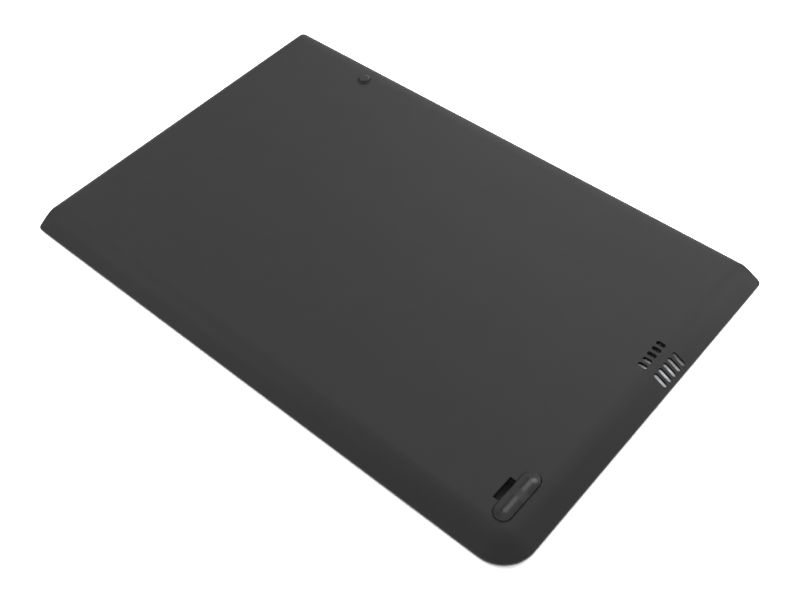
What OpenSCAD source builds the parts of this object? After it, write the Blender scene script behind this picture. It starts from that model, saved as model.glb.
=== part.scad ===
// Flat laptop battery whose cover is also the bottom plate of the laptop.
// It lies on its inner side with the outer face up. X runs along the length, Y from the front
// edge to the rear edge, and the origin is under the middle of the cover, on the resting plane.
// Inside the modules, places are measured from the cover's front left corner.

/* [Cover] */
// Length of the cover along X
cover_len = 290; // [280:1:300]
// Depth of the cover along Y
cover_dep = 188; // [184:1:196]
// Wall of the cover
cover_wall = 1.0; // [0.8:0.05:1.1]
// Height of the outer face over the rim
bevel_drop = 6.7; // [6.5:0.1:7.2]
// Upright lip between the rim and the slope
rim_lip = 1.0; // [0.8:0.1:1.4]
// Round between the lip and the slope
lip_r = 0.6; // [0.3:0.1:0.8]
// Slope of the bevel below the outer face
bevel_angle = 30.4; // [29:0.2:33]
// Radius that blends the slope into the outer face
blend_r = 17; // [13:0.5:19]
// Plan radius that the front right corner keeps at the top of its bevel
corner_top_r = 1.1; // [0.6:0.1:3]
// Plan radius of the rear left corner
rear_corner_r = 2.6; // [2.4:0.1:3.2]
// Plan radius of the two tips where the bevel ends
tip_r = 1.6; // [1:0.1:2]
// Width of the band along the left and rear edges that rolls down
edge_w = 2.2; // [1.4:0.1:2.2]
// How far that band falls
edge_drop = 0.4; // [0.2:0.05:0.5]
// Height of the rim over the surface that the pack lies on
rim_gap = 1.8; // [1.6:0.1:2.4]

/* [Speaker slots] */
// Width of a slot
slot_w = 2.1; // [1.6:0.1:2.4]
// Distance from slot to slot
slot_pitch = 3.6; // [3:0.1:4.2]
// Middle of the rows, from the front edge
slot_y = 118.4; // [112:0.2:122]
// Length of a slot in the row on the flat
flat_slot_len = 4.5; // [3.5:0.1:6]
// From the right edge to the near end of the row on the flat
flat_slot_x = 12.2; // [11:0.1:13]
// Length of a slot in the row on the bevel, seen from above
bevel_slot_len = 6.4; // [5:0.1:7]
// From the right edge to the near end of the row on the bevel
bevel_slot_x = 2.1; // [1.8:0.1:3]

/* [Rubber foot] */
// Width of the foot
foot_w = 7.6; // [7:0.1:9]
// Length of the foot
foot_len = 25.6; // [22:0.2:32]
// Middle of the foot, from the right edge
foot_x = 17.7; // [17.2:0.1:18.2]
// Middle of the foot, from the front edge
foot_y = 27.5; // [26:0.1:34]
// Height of the crown over the outer face
foot_proud = 1.7; // [1.2:0.1:2.2]
// Radius of the crown across the foot
foot_crown_r = 9; // [7.5:0.5:14]
// Gap around the foot in its recess
foot_gap = 0.5; // [0.2:0.05:0.6]
// Depth of the recess
foot_recess = 1.2; // [0.9:0.1:1.4]
// Thickness of the tape under the foot
adhesive_t = 0.15; // [0.1:0.05:0.3]

/* [Rear bumper] */
// Diameter of the bumper
bumper_d = 6.6; // [5.8:0.1:7.2]
// Middle of the bumper, from the left edge
bumper_x = 55.7; // [50:0.5:60]
// Middle of the bumper, from the rear edge
bumper_y = 9.5; // [8:0.1:12]
// Height of the bumper over the outer face
bumper_proud = 1.2; // [0.8:0.1:1.4]
// Round along the bumper's shoulder
bumper_r = 1.0; // [0.6:0.1:1.2]
// Depth of the bumper's recess
bumper_recess = 0.9; // [0.6:0.1:1.1]
// Gap around the bumper in its recess
bumper_gap = 0.3; // [0.1:0.05:0.4]

/* [Window] */
// Width of the window beside the foot
window_w = 3.3; // [2.5:0.1:3.5]
// Length of the window along Y
window_len = 11.5; // [8:0.1:13]
// Middle of the window, from the front edge
window_y = 26.95; // [25:0.05:34]
// How far the window cuts into the foot recess
window_cut = 0.3; // [0.1:0.05:0.6]

/* [Frame] */
// Wall of the frame
frame_wall = 1.2; // [1:0.1:1.4]
// Rib between two cells
rib_t = 1.4; // [1:0.1:1.6]
// From the cover's left edge to the frame
frame_left = 1.2; // [1:0.1:2]
// From the cover's rear edge to the frame
frame_rear = 2.0; // [1.5:0.1:3]
// From where the cover turns flat inside to the frame
frame_gap = 0.3; // [0.1:0.05:0.6]
// Width of the open bay for the laptop's speaker, from the cover's right edge
speaker_bay_w = 26.5; // [25.5:0.1:30]
// End of the speaker bay, from the front edge
speaker_bay_end = 123.5; // [122:0.5:130]
// Floor under the electronics
floor_t = 1.0; // [0.8:0.1:1.2]
// Depth of the electronics bay, from the frame's rear face
bay_dep = 34; // [33:0.5:38]
// Width of the ledge that the cells' edges rest on
ledge_w = 2.0; // [1.5:0.1:3]

/* [Cells] */
// Thickness of a cell
cell_t = 5.2; // [4.8:0.1:5.3]
// Gap on each side of a cell in its bay
cell_gap = 0.9; // [0.5:0.1:1.2]
// Radius of the pouch's long edges
pouch_r = 1.4; // [0.8:0.1:2]
// Folded seam along a cell's side
seam_t = 0.3; // [0.2:0.05:0.4]
// Length of the sealed terrace that the tabs leave by
terrace_len = 5.0; // [4:0.1:6]
// Thickness of the terrace
terrace_t = 0.4; // [0.3:0.05:0.6]
// Width of a tab
tab_w = 5.0; // [4:0.1:7]
// Length of a tab past the terrace
tab_len = 9.0; // [8:0.1:10]
// Thickness of a tab
tab_t = 0.2; // [0.1:0.05:0.25]
// From the middle of a cell to the middle of a tab
tab_offset = 14; // [10:0.5:20]
// Thickness of a nickel strip
strip_t = 0.2; // [0.1:0.05:0.25]
// How far a strip reaches past a tab's side
strip_over = 1.5; // [0.5:0.1:3]
// Thickness of the tape between a cell and the cover
tape_t = 0.2; // [0.1:0.05:0.3]
// How far tape and foam stay inside a cell's edges
pad_inset = 5; // [3:0.5:10]
// Thickness of the backing sheet
sheet_t = 0.4; // [0.3:0.05:0.5]
// Height of the backing sheet over the surface that the pack lies on
sheet_z = 0.5; // [0.3:0.05:0.6]
// Gap around the backing sheet
sheet_gap = 0.3; // [0.1:0.05:0.5]
// Thickness of the film over the tabs
film_t = 0.06; // [0.05:0.01:0.1]

/* [Board] */
// Thickness of the board
board_t = 0.8; // [0.6:0.1:1]
// Depth of the board along Y
board_dep = 16.8; // [16:0.1:17.5]
// How far the board reaches past the outer tabs
board_over = 6; // [4:0.5:9]
// Width of the board's tongue at the connector
tongue_w = 30; // [27:0.5:36]
// Diameter of a post's pin through the board
pin_d = 1.8; // [1.4:0.1:2]
// Clearance around a pin, on the diameter
pin_clear = 0.2; // [0.1:0.05:0.3]
// Diameter of a post under the board
post_d = 4; // [3.2:0.1:5]
// Gauge chip: length, width and height of its body
gauge_size = [7.8, 4.4, 1.1]; // [0.5:0.1:9]
// Second protector chip: length, width and height of its body
protector_size = [3, 3, 0.9]; // [0.5:0.1:9]
// Power transistor: length, width and height of its body
mosfet_size = [5, 4, 1.1]; // [0.5:0.1:9]
// Fuse: length, width and height
fuse_size = [5.2, 3.2, 1.3]; // [0.5:0.1:9]
// Sense resistor: length, width and height
sense_size = [6.3, 3.2, 0.7]; // [0.5:0.1:9]
// Small resistor or capacitor: length, width and height
small_size = [1.6, 0.8, 0.6]; // [0.3:0.1:3]
// From the connector's middle to the gauge chip on its left
gauge_x = 22; // [21:0.5:24]
// From the connector's middle to the second protector chip on its right
protector_x = 18; // [16:0.5:18.5]
// From the connector's middle to the fuse on its left and the sense resistor on its right
fuse_x = 48; // [44:0.5:52]
// Distance from the fuse to the first power transistor, and from each to the next
mosfet_pitch = 8.5; // [7:0.1:9]

/* [Connector] */
// Middle of the connector, from the left edge
conn_x = 150; // [130:1:170]
// Distance from blade slot to blade slot
conn_pitch = 2.6; // [2.4:0.1:2.8]
// Width of a blade slot
blade_slot_w = 1.0; // [0.8:0.05:1.1]
// Depth of a blade slot from the rear
blade_slot_dep = 9; // [7:0.1:9.5]
// Height of a blade slot
blade_slot_h = 4.6; // [4:0.1:4.8]
// How far the housing reaches past the outer blades, on each side
conn_side = 1.6; // [1.2:0.1:2.4]
// Depth of the housing along Y
conn_dep = 12; // [11.5:0.1:12.5]
// Height of the housing
conn_h = 6.3; // [6:0.1:6.6]
// Height of the housing over the surface that the pack lies on
conn_z = 0.3; // [0.2:0.05:0.5]
// Gap around the housing
conn_gap = 0.2; // [0.1:0.05:0.3]
// Thickness of a contact's leaf
leaf_t = 0.25; // [0.2:0.05:0.3]
// Gap between a contact's two leaves
leaf_gap = 0.7; // [0.5:0.05:0.8]

/* [Fastening] */
// Diameter of the guide bores beside the connector
guide_d = 3.2; // [2.5:0.1:4]
// Depth of the guide bores
guide_dep = 5; // [4:0.1:5.4]
// Distance between the guide bores
guide_pitch = 44; // [40:0.5:60]
// From the frame's rear face to the guide bores
guide_y = 6; // [5:0.1:8]
// Width of a latch pocket
latch_w = 12; // [8:0.5:16]
// Depth of a latch pocket
latch_dep = 3.2; // [2.5:0.1:4]
// Height of a latch pocket
latch_h = 3.0; // [2.5:0.1:3.4]
// From the frame's side walls to the middles of the latch pockets
latch_x = 40; // [25:1:60]
// Width of a front tongue
hook_w = 14; // [8:0.5:18]
// Length of a front tongue
hook_len = 5.5; // [4:0.1:6.5]
// Thickness of a front tongue
hook_t = 1.4; // [1:0.1:1.4]
// Diameter of the cover's stake posts
stake_d = 1.8; // [1.4:0.1:2.2]
// Diameter of a staked head
stake_head_d = 3.0; // [2.6:0.1:3.4]
// Height of a staked head
stake_head_h = 0.7; // [0.5:0.1:1]
// From the ends of the frame's walls to the nearest stakes
stake_end = 10; // [8:0.5:14]
// From the middle of the foot to the stake behind it
foot_stake = 21; // [20:0.5:21.5]
// From the rear end of the speaker bay to the stake in front of it
bay_stake = 7; // [5:0.5:7.5]
// Thickness of an ear on the frame
ear_t = 1.0; // [0.8:0.1:1.2]
// Length of an ear
ear_len = 4.4; // [4:0.1:4.8]
// From the end of an ear to the middle of its hole
ear_edge = 1.8; // [1.5:0.1:2]
// From the cover's underside down to an ear
ear_low = 1.6; // [1.4:0.1:2]
// Distance between the ribs inside the bevel
brace_pitch = 22; // [16:1:30]
// Thickness of a rib inside the bevel
brace_t = 0.8; // [0.6:0.1:1]

/* [Hidden] */
$fn = 96;
// Past a face, so that a cut leaves no skin
past = 1;
// Slots in a row, cells in the pack and blades in the connector
slots = 5;
cells = 4;
blades = 8;

// Bevel: widths in plan are kept to a hundredth so that its runs meet exactly
function hundredth(v) = round(v * 100) / 100;
bevel_run = hundredth(blend_r * sin(bevel_angle)
    + (bevel_drop - rim_lip - blend_r * (1 - cos(bevel_angle))) / tan(bevel_angle));
corner_r = hundredth(bevel_run + corner_top_r);
flat_mid = hundredth(bevel_run + corner_top_r / 2);
// The slope ends this far under the blend, so that the two overlap
weld = 0.0002;
cover_top = rim_gap + bevel_drop;
cover_under = cover_top - cover_wall;

// Frame: outer faces, then what lies between them
fx0 = frame_left;
fx1 = cover_len - speaker_bay_w;
fx2 = cover_len - bevel_run - frame_gap;
fy0 = bevel_run + frame_gap;
fy1 = cover_dep - frame_rear;
cross_y = fy1 - bay_dep;
cells_x0 = fx0 + frame_wall;
cells_x1 = fx1 - frame_wall;
cell_bay_w = (cells_x1 - cells_x0 - (cells - 1) * rib_t) / cells;
cell_w = cell_bay_w - 2 * cell_gap;

// Cells, from the front wall to the cross rib, and the stack under the cover
cell_y0 = fy0 + frame_wall + cell_gap;
tab_room = 1.2;
cell_y1 = cross_y - tab_room - terrace_len;
cell_len = cell_y1 - cell_y0;
cell_z = cover_under - tape_t - cell_t;
cell_mid_z = cell_z + cell_t / 2;
sheet_top = sheet_z + sheet_t;
tab_z = cell_mid_z - tab_t / 2;
tab_y1 = cell_y1 + terrace_len + tab_len;

// Board, under the strips that the tabs are welded to
board_gap = 0.4;
board_y0 = cross_y + rib_t + board_gap;
board_y1 = board_y0 + board_dep;
board_top = tab_z - strip_t;
board_z = board_top - board_t;
board_x0 = tab_x(0, -1) - tab_w / 2 - board_over;
board_x1 = tab_x(cells - 1, 1) + tab_w / 2 + board_over;
strip_y0 = board_y0 + board_gap;
strip_y1 = tab_y1 + board_gap;
part_y = (strip_y1 + board_y1) / 2;
mosfets = 4;
// Where the thermistor's leads turn down onto the board
lead_y = board_y0 + 2;
// Pins through the board: how far they stand out of it, from its ends, from its rear edge, and
// from the connector's middle
pin_proud = 0.6;
pin_end = 4;
pin_rear = 3;
pin_out = 37;
pins = [for (x = [board_x0 + pin_end, conn_x - pin_out, conn_x + pin_out, board_x1 - pin_end])
    [x, board_y1 - pin_rear]];

// Connector
conn_w = blades * conn_pitch + 2 * conn_side;
conn_y0 = fy1 - conn_dep;
tail_len = 3;
tail_w = 0.6;
tail_t = 0.25;

// Middles of the latch pockets along X
latch_places = [fx0 + latch_x, fx2 - latch_x];

// Foot recess and window
foot_floor_z = cover_top - foot_recess;
foot_tub_z = foot_floor_z - cover_wall;
recess_left = cover_len - foot_x - foot_w / 2 - foot_gap;
window_x1 = recess_left + window_cut;
window_x0 = window_x1 - window_w;

// Where the cover is staked to the frame: place on the wall and the way that the ear points
ear_w = 6;
ear_top = cover_under - ear_low;
stake_out = ear_len - ear_edge;
stakes = concat(
    [for (k = [1:cells - 1]) [cell_bay_x(k) - rib_t / 2, fy0, 0]],
    [for (x = [fx0 + stake_end, fx1 - stake_end]) [x, fy0, 0]],
    [for (y = [foot_y + foot_stake, speaker_bay_end - bay_stake]) [fx1, y, 90]],
    [for (y = [speaker_bay_end + stake_end, fy1 - stake_end]) [fx2, y, 90]]);

function cell_bay_x(k) = cells_x0 + k * (cell_bay_w + rib_t);
function cell_x(k) = cell_bay_x(k) + cell_gap;
function tab_x(k, side) = cell_x(k) + cell_w / 2 + side * tab_offset;
// Corners of a rectangle w by d, centred, with corners of radius r
function rounded(w, d, r, steps = 6) = [for (q = [0:3], k = [0:steps])
    let (t = 90 * (q + k / steps), sx = (q == 0 || q == 3) ? 1 : -1, sy = q < 2 ? 1 : -1)
    [sx * (w / 2 - r) + r * cos(t), sy * (d / 2 - r) + r * sin(t)]];
// Frame's outline in plan, moved inward by a wall
function frame_outline(wall) = [
    [fx0 + wall, fy0 + wall], [fx1 - wall, fy0 + wall], [fx1 - wall, speaker_bay_end + wall],
    [fx2 - wall, speaker_bay_end + wall], [fx2 - wall, fy1 - wall], [fx0 + wall, fy1 - wall]];

// Puts what is measured from the cover's front left corner into the part's frame
module in_place() {
  translate([-cover_len / 2, -cover_dep / 2, 0]) children();
}

// Block from one corner to the other
module block(from, to) {
  translate(from) cube(to - from);
}

// Turns what is made for the front and left edges over to the right and rear edges
module other_edges() {
  translate([cover_len, cover_dep, 0]) mirror([1, 1, 0]) children();
}

// Slot shape in plan: width w along X, length len along Y, round ends
module stadium(w, len) {
  translate([-w / 2, -(len - w) / 2]) square([w, len - w]);
  for (s = [-1, 1]) translate([0, s * (len - w) / 2]) circle(d = w);
}

// Region under the cover's skin, seen along an edge: X is the distance from the edge and Y the
// height over the rim. It is moved inward by a wall and reaches down to low.
module under_skin(wall, low) {
  r = blend_r - wall;
  round_r = max(lip_r - wall, 0);
  slope_x = bevel_run - r * sin(bevel_angle);
  slope_y = bevel_drop - blend_r + r * cos(bevel_angle);
  lip_y = rim_lip + wall * tan(bevel_angle) - wall / cos(bevel_angle);
  round_y = lip_y + round_r * (tan(bevel_angle) - 1 / cos(bevel_angle));
  lip = [for (k = [0:6]) let (t = 180 - (90 - bevel_angle) * k / 6)
      [wall + round_r * (1 + cos(t)), round_y + round_r * sin(t)]];
  polygon(concat([[wall, low]], round_r > 0 ? lip : [[wall, lip_y]],
      [[slope_x, slope_y - weld], [slope_x, low]]));
  intersection() {
    translate([bevel_run, bevel_drop - blend_r]) circle(r);
    translate([slope_x - past, low]) square([bevel_run - slope_x + past, bevel_drop - low]);
  }
  translate([bevel_run, low]) square([corner_top_r + past, bevel_drop - wall - low]);
}

// Wall of the cover in section, seen along an edge
module skin_wall() {
  difference() {
    under_skin(0, 0);
    under_skin(cover_wall, -past);
  }
}

// The same, cut where the corner ends. It starts at the edge, or for the corner at its middle.
module skin_section(from_middle = false) {
  intersection() {
    if (from_middle) translate([corner_r, 0]) mirror([1, 0]) skin_wall();
    else skin_wall();
    translate([0, -past]) square([corner_r, bevel_drop + 2 * past]);
  }
}

// Straight run of the bevel along X
module skin_run(len) {
  rotate([90, 0, 90]) linear_extrude(len) skin_section();
}

// Section that rolls down an outside corner at the origin, with the body in +X and -Y
module roll_section() {
  roll_r = (pow(edge_w, 2) + pow(edge_drop, 2)) / (2 * edge_drop);
  difference() {
    translate([-past, -edge_drop]) square([edge_w + past, edge_drop + past]);
    translate([edge_w, -roll_r]) circle(roll_r);
  }
}

// Cutter that rolls down the edge along Y up to len. The roll fades out over the blend, where
// the skin falls away from under it.
module edge_roll(len) {
  fade = sqrt(2 * blend_r * edge_drop) + past;
  translate([0, len, bevel_drop]) rotate([90, 0, 0])
    linear_extrude(len - bevel_run + fade) roll_section();
}

// Cutter that rounds, in plan, the tip where the front bevel meets the left edge
module tip_round() {
  difference() {
    translate([-past, -past, -past]) cube([tip_r + past, tip_r + past, bevel_drop + 2 * past]);
    translate([tip_r, tip_r, -2 * past]) cylinder(r = tip_r, h = bevel_drop + 4 * past);
  }
}

// Cutter for the rear left corner: its plan radius and the roll that follows it
module rear_corner() {
  translate([rear_corner_r, cover_dep - rear_corner_r, 0]) {
    difference() {
      translate([-rear_corner_r - past, 0, -past])
        cube([rear_corner_r + past, rear_corner_r + past, bevel_drop + 2 * past]);
      translate([0, 0, -2 * past]) cylinder(r = rear_corner_r, h = bevel_drop + 4 * past);
    }
    translate([0, 0, bevel_drop]) rotate([0, 0, 90]) rotate_extrude(angle = 90)
      translate([rear_corner_r, 0]) mirror([1, 0]) roll_section();
  }
}

// The swept skin, measured from the rim: two bevel runs, the corner between them and the plate
module skin() {
  difference() {
    union() {
      skin_run(cover_len - corner_r);
      other_edges() skin_run(cover_dep - corner_r);
      translate([cover_len - corner_r, corner_r, 0]) rotate([0, 0, -90])
        rotate_extrude(angle = 90) skin_section(from_middle = true);
      // The plate in two blocks, which reach into the flat stretch of the runs and clear the corner
      block([0, flat_mid, bevel_drop - cover_wall], [cover_len - corner_r, cover_dep, bevel_drop]);
      block([0, corner_r, bevel_drop - cover_wall], [cover_len - flat_mid, cover_dep, bevel_drop]);
    }
    edge_roll(cover_dep - rear_corner_r);
    other_edges() edge_roll(cover_len - rear_corner_r);
    tip_round();
    other_edges() tip_round();
    rear_corner();
  }
}

// Thin rib inside the bevel, from the lip to just past the slope
module brace() {
  reach = bevel_run - blend_r * sin(bevel_angle) + 1;
  slope_low = rim_lip - cover_wall / 2 / cos(bevel_angle);
  foot_h = 0.3;
  translate([-brace_t / 2, 0, 0]) rotate([90, 0, 90]) linear_extrude(brace_t)
    polygon([[cover_wall / 2, foot_h], [cover_wall / 2, slope_low + cover_wall / 2 * tan(bevel_angle)],
        [reach, slope_low + reach * tan(bevel_angle)], [reach, foot_h]]);
}

module braces() {
  for (x = [brace_pitch:brace_pitch:cover_len - corner_r - brace_t]) translate([x, 0, 0]) brace();
  keep_off = slots * slot_pitch / 2 + brace_t;
  other_edges() for (x = [brace_pitch:brace_pitch:cover_dep - corner_r - brace_t])
    if (abs(cover_dep - x - slot_y) > keep_off) translate([x, 0, 0]) brace();
}

// Post from the cover through a frame ear, with its head formed under the ear
module stake(top) {
  head_z = ear_top - ear_t;
  translate([0, 0, head_z - stake_head_h]) cylinder(d = stake_head_d, h = stake_head_h);
  translate([0, 0, head_z - stake_head_h / 2]) cylinder(d = stake_d, h = top - head_z + stake_head_h / 2);
}

module slot_rows() {
  for (k = [0:slots - 1], row = [[flat_slot_x, flat_slot_len], [bevel_slot_x, bevel_slot_len]])
    translate([cover_len - row[0] - row[1] / 2, slot_y + (k - (slots - 1) / 2) * slot_pitch, 0])
      rotate([0, 0, 90]) linear_extrude(cover_top + past) stadium(slot_w, row[1]);
}

module outer_cover() {
  color("#424245") in_place() difference() {
    union() {
      translate([0, 0, rim_gap]) {
        skin();
        braces();
      }
      for (s = stakes) translate([s[0], s[1], 0]) rotate([0, 0, s[2]]) translate([0, -stake_out, 0])
        stake(cover_under + cover_wall / 4);
      translate([cover_len - foot_x, foot_y, foot_tub_z]) linear_extrude(foot_recess + cover_wall / 2)
        stadium(foot_w + 2 * (foot_gap + cover_wall), foot_len + 2 * (foot_gap + cover_wall));
      translate([bumper_x, cover_dep - bumper_y, cover_top - bumper_recess - cover_wall])
        cylinder(d = bumper_d + 2 * (bumper_gap + cover_wall), h = bumper_recess + cover_wall / 2);
    }
    slot_rows();
    translate([cover_len - foot_x, foot_y, foot_floor_z]) linear_extrude(foot_recess + past)
      stadium(foot_w + 2 * foot_gap, foot_len + 2 * foot_gap);
    block([window_x0, window_y - window_len / 2, foot_tub_z - past],
        [window_x1, window_y + window_len / 2, cover_top + past]);
    translate([bumper_x, cover_dep - bumper_y, cover_top - bumper_recess])
      cylinder(d = bumper_d + 2 * bumper_gap, h = bumper_recess + past);
  }
}

// Section across the foot: X across, Y up from its underside
module foot_section(h) {
  intersection() {
    translate([-foot_w / 2, 0]) square([foot_w, h]);
    translate([0, h - foot_crown_r]) circle(foot_crown_r);
  }
}

module rubber_foot() {
  h = foot_recess - adhesive_t + foot_proud;
  straight = foot_len - foot_w;
  color("#4a4a4e") in_place() translate([cover_len - foot_x, foot_y, foot_floor_z + adhesive_t]) {
    translate([0, straight / 2, 0]) rotate([90, 0, 0]) linear_extrude(straight) foot_section(h);
    for (s = [0, 180]) rotate([0, 0, s]) translate([0, straight / 2, 0]) rotate_extrude(angle = 180)
      intersection() {
        foot_section(h);
        square([foot_w, h + past]);
      }
  }
}

module foot_adhesive() {
  color("#202022") in_place() translate([cover_len - foot_x, foot_y, foot_floor_z])
    linear_extrude(adhesive_t) stadium(foot_w, foot_len);
}

module rear_bumper() {
  h = bumper_recess + bumper_proud;
  flat = bumper_d / 2 - bumper_r;
  color("#3a3a3d") in_place() translate([bumper_x, cover_dep - bumper_y, cover_top - bumper_recess])
    rotate_extrude() {
      square([bumper_d / 2, h - bumper_r]);
      square([flat, h]);
      translate([flat, h - bumper_r]) circle(bumper_r);
    }
}

// Ear on the frame: it points to -Y from the wall and has a hole for the cover's post
module ear() {
  difference() {
    block([-ear_w / 2, -ear_len, ear_top - ear_t], [ear_w / 2, frame_wall / 2, ear_top]);
    translate([0, -stake_out, ear_top - ear_t - past])
      cylinder(d = stake_d + pin_clear, h = ear_t + 2 * past);
  }
}

// Tongue on the front wall that reaches under the laptop's edge, with its upturned tip and gussets
module front_tongue() {
  low = 0.2;
  tip = 1.2;
  gusset_h = 2.6;
  block([-hook_w / 2, -hook_len, low], [hook_w / 2, frame_wall / 2, low + hook_t]);
  block([-hook_w / 2, -hook_len, low], [hook_w / 2, tip - hook_len, low + hook_t + tip / 2]);
  for (x = [-hook_w / 2, hook_w / 2 - rib_t]) translate([x, 0, low + hook_t / 2]) rotate([90, 0, 90])
    linear_extrude(rib_t) polygon([[frame_wall / 2, 0], [tip - hook_len, 0], [0, gusset_h],
        [frame_wall / 2, gusset_h]]);
}

// Box behind the cover's window, hung on the frame's right wall
module window_box() {
  reach = 0.3;
  x1 = window_x1 + reach;
  y0 = window_y - window_len / 2 - reach;
  y1 = window_y + window_len / 2 + reach;
  top = foot_tub_z - reach;
  difference() {
    block([fx1 - frame_wall / 2, y0 - frame_wall, 0], [x1 + frame_wall, y1 + frame_wall, top]);
    block([fx1, y0, floor_t], [x1, y1, top + past]);
  }
}

module inner_frame() {
  color("#1d1d1f") in_place() difference() {
    union() {
      linear_extrude(cover_under) difference() {
        polygon(frame_outline(0));
        polygon(frame_outline(frame_wall));
      }
      // Right wall of the last cell bay, and the ribs between the cells
      block([cells_x1, speaker_bay_end, 0], [fx1, cross_y + rib_t, cover_under]);
      for (k = [1:cells - 1]) block([cell_bay_x(k) - rib_t, fy0 + frame_wall / 2, sheet_top],
          [cell_bay_x(k), cell_y1, cover_under]);
      for (k = [1:cells - 1]) block([cell_bay_x(k) - rib_t, fy0 + frame_wall / 2, sheet_top],
          [cell_bay_x(k), cross_y + rib_t / 2, cell_mid_z - terrace_t]);
      // Cross rib under the tabs
      block([fx0 + frame_wall / 2, cross_y, 0], [fx1 - frame_wall / 2, cross_y + rib_t, board_top]);
      // Ledge under the cells' edges
      difference() {
        block([fx0 + frame_wall / 2, fy0 + frame_wall / 2, sheet_top],
            [fx1 - frame_wall / 2, cross_y + rib_t / 2, cell_z]);
        block([cells_x0 + ledge_w, fy0 + frame_wall + ledge_w, 0],
            [cells_x1 - ledge_w, cross_y - ledge_w, cover_top]);
      }
      // Floor of the electronics bay and of the side chamber
      block([fx0 + frame_wall / 2, cross_y, 0], [fx2 - frame_wall / 2, fy1 - frame_wall / 2, floor_t]);
      block([cells_x1, speaker_bay_end + frame_wall / 2, 0],
          [fx2 - frame_wall / 2, fy1 - frame_wall / 2, floor_t]);
      for (p = pins) translate(p) {
        cylinder(d = post_d, h = board_z);
        cylinder(d = pin_d, h = board_top + pin_proud);
      }
      for (s = [-1, 1]) translate([conn_x + s * guide_pitch / 2, fy1 - guide_y, 0])
        cylinder(d = guide_d + 2 * rib_t, h = guide_dep + floor_t);
      for (x = latch_places) block([x - latch_w / 2 - frame_wall, fy1 - latch_dep - frame_wall, 0],
          [x + latch_w / 2 + frame_wall, fy1, floor_t + latch_h + 2 * frame_wall]);
      for (s = stakes) translate([s[0], s[1], 0]) rotate([0, 0, s[2]]) ear();
      for (k = [0:cells - 1]) translate([cell_bay_x(k) + cell_bay_w / 2, fy0, 0]) front_tongue();
      window_box();
    }
    for (x = latch_places) block([x - latch_w / 2, fy1 - latch_dep, floor_t + frame_wall / 2],
        [x + latch_w / 2, fy1 + past, floor_t + frame_wall / 2 + latch_h]);
    for (s = [-1, 1]) translate([conn_x + s * guide_pitch / 2, fy1 - guide_y, -past])
      cylinder(d = guide_d, h = guide_dep + past);
    block([conn_x - conn_w / 2 - conn_gap, conn_y0 - conn_gap, -past],
        [conn_x + conn_w / 2 + conn_gap, fy1 + past, cover_top]);
  }
}

// Pouch, its folded side seams, the terrace and the two tabs
module cell(k) {
  side_h = cell_t * 0.7;
  body_w = cell_w - 2 * seam_t;
  color("#b9bcc0") in_place() translate([cell_x(k) + cell_w / 2, 0, cell_z]) {
    translate([0, cell_y1, cell_t / 2]) rotate([90, 0, 0]) linear_extrude(cell_len)
      polygon(rounded(body_w, cell_t, pouch_r));
    for (s = [0, 1]) mirror([s, 0, 0]) block([body_w / 2 - seam_t, cell_y0 + pouch_r, (cell_t - side_h) / 2],
        [cell_w / 2, cell_y1, (cell_t + side_h) / 2]);
    block([-cell_w / 2 + pouch_r, cell_y1 - past, (cell_t - terrace_t) / 2],
        [cell_w / 2 - pouch_r, cell_y1 + terrace_len, (cell_t + terrace_t) / 2]);
    for (s = [-1, 1]) block([s * tab_offset - tab_w / 2, cell_y1, (cell_t - tab_t) / 2],
        [s * tab_offset + tab_w / 2, tab_y1, (cell_t + tab_t) / 2]);
  }
}

// Flat pad over or under a cell
module cell_pad(k, z0, z1, shade) {
  color(shade) in_place() block([cell_x(k) + pad_inset, cell_y0 + pad_inset, z0],
      [cell_x(k) + cell_w - pad_inset, cell_y1 - pad_inset, z1]);
}

module cell_backing_sheet() {
  color("#18181a") in_place() block([cells_x0 + sheet_gap, fy0 + frame_wall + sheet_gap, sheet_z],
      [cells_x1 - sheet_gap, cross_y - sheet_gap, sheet_top]);
}

// Strip k joins the right tab of cell k to the left tab of the next; the outer two serve one tab
module nickel_strip(k) {
  first = k == 0 ? tab_x(0, -1) : tab_x(k - 1, 1);
  last = k == cells ? tab_x(cells - 1, 1) : tab_x(k, -1);
  side = tab_w / 2 + strip_over;
  pad_len = 1.2;
  color("#c6c3ba") in_place() {
    block([first - side, strip_y0, board_top], [last + side, strip_y1, board_top + strip_t]);
    // Foot that is soldered to the board
    translate([(first + last) / 2, 0, 0]) block([-tab_w / 2, strip_y1 - pad_len, board_top],
        [tab_w / 2, strip_y1 + pad_len, board_top + strip_t]);
  }
}

module protection_board() {
  color("#1f4d33") in_place() difference() {
    union() {
      block([board_x0, board_y0, board_z], [board_x1, board_y1, board_top]);
      block([conn_x - tongue_w / 2, board_y1 - past, board_z],
          [conn_x + tongue_w / 2, conn_y0 - conn_gap, board_top]);
    }
    for (p = pins) translate([p[0], p[1], board_z - past])
      cylinder(d = pin_d + pin_clear, h = board_t + 2 * past);
  }
}

// Chip on the board: its body stands off the board on two rows of leads
module leaded_chip(size, leads, pitch) {
  stand = 0.1;
  reach = 0.9;
  lead_t = 0.15;
  lead_w = pitch * 0.4;
  color("#19191b") block([-size[0] / 2, -size[1] / 2, stand], [size[0] / 2, size[1] / 2, size[2]]);
  color("#b5b5b0") for (s = [0, 1], k = [0:leads - 1])
    mirror([0, s, 0]) translate([(k - (leads - 1) / 2) * pitch, size[1] / 2, 0]) {
      block([-lead_w / 2, reach / 3, 0], [lead_w / 2, reach, lead_t]);
      block([-lead_w / 2, reach / 3, 0], [lead_w / 2, reach / 3 + lead_t, size[2] / 2 + lead_t]);
      block([-lead_w / 2, -lead_t, size[2] / 2], [lead_w / 2, reach / 3 + lead_t, size[2] / 2 + lead_t]);
    }
}

// Places what follows on the board, x along it from the connector's middle
module on_board(x) {
  in_place() translate([conn_x + x, part_y, board_top]) children();
}

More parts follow.
